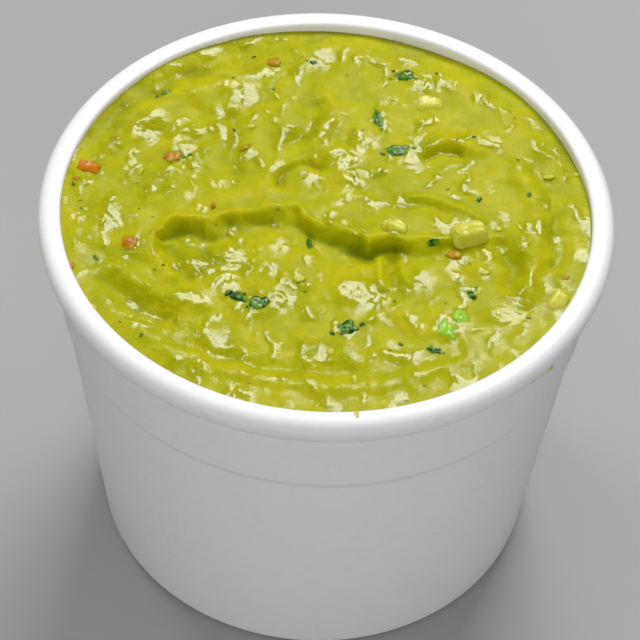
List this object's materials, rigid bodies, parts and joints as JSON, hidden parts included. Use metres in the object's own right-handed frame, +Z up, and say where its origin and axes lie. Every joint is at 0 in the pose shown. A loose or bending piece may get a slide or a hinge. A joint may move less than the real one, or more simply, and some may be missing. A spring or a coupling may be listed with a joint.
{
  "type": "guacamole in a foam cup",
  "caption": "Chunky guacamole filling a round white foam cup almost to its rolled rim, with a spoon's scoop and ridge in its top and soft diced pieces set in it",
  "frame": {"origin": "the middle of the cup's foot ring, on the surface it stands on", "axes": "+Z up along the cup's axis, front towards -Y, the side with the scoop"},
  "size_m": [0.088, 0.088, 0.0652],
  "materials": {
    "foam": "matt expanded foam",
    "guacamole": "wet and granular",
    "avocado_flesh": "soft and moist",
    "tomato_flesh": "wet"
  },
  "bodies": {
    "root": {"cup": "foam", "guacamole": "guacamole", "avocado_chunk_1": "avocado_flesh", "avocado_chunk_2": "avocado_flesh", "avocado_chunk_3": "avocado_flesh", "avocado_chunk_4": "avocado_flesh", "tomato_bit": "tomato_flesh"}
  },
  "joints": []
}
